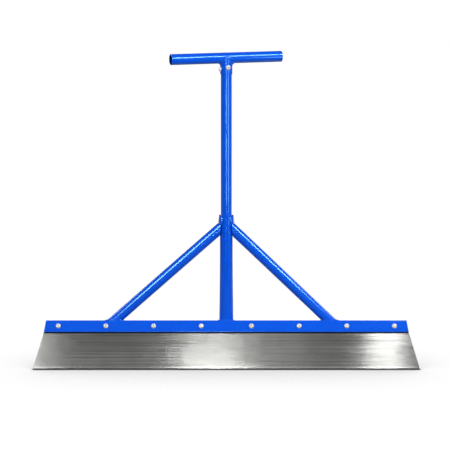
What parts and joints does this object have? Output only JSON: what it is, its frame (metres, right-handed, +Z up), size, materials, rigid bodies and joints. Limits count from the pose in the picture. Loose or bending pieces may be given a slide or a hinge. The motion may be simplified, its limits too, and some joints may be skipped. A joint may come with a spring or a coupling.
{
  "type": "floor spreader",
  "caption": "Hand-pushed floor spreader with a T handle on a braced round shaft and a long raked steel blade bolted behind a slanted-end rail, for spreading and levelling.",
  "frame": {"origin": "middle of the blade's working edge, on the floor", "axes": "+X along the blade, +Y away from the blade's front face, +Z up along the shaft"},
  "size_m": [1.2002, 0.1414, 0.9777],
  "materials": {
    "blue_paint": "gloss powder coat",
    "blade_steel": "brushed along the blade",
    "zinc_plate": "bright zinc plate",
    "nylon": "natural nylon"
  },
  "bodies": {
    "frame": {"blade": "blade_steel", "rail": "blue_paint", "blade_bolts": "zinc_plate", "blade_washers": "zinc_plate", "blade_nuts": "zinc_plate", "nut_inserts": "nylon", "socket_tube": "blue_paint", "socket_weld": "blue_paint", "shaft": "blue_paint", "brace_right": "blue_paint", "brace_left": "blue_paint", "brace_weld_right": "blue_paint", "brace_weld_left": "blue_paint", "cross_sleeve": "zinc_plate", "cross_screw": "zinc_plate"},
    "handle": {"handle_bar": "blue_paint", "handle_socket": "blue_paint", "handle_weld": "blue_paint", "clamp_screw_front": "zinc_plate", "clamp_screw_side": "zinc_plate"}
  },
  "joints": [
    {"name": "handle_swivel", "type": "hinge", "parent": "frame", "child": "handle", "pos_m": [0, 0.06558, 0.961], "axis": [0, 0, 1], "continuous": true}
  ]
}
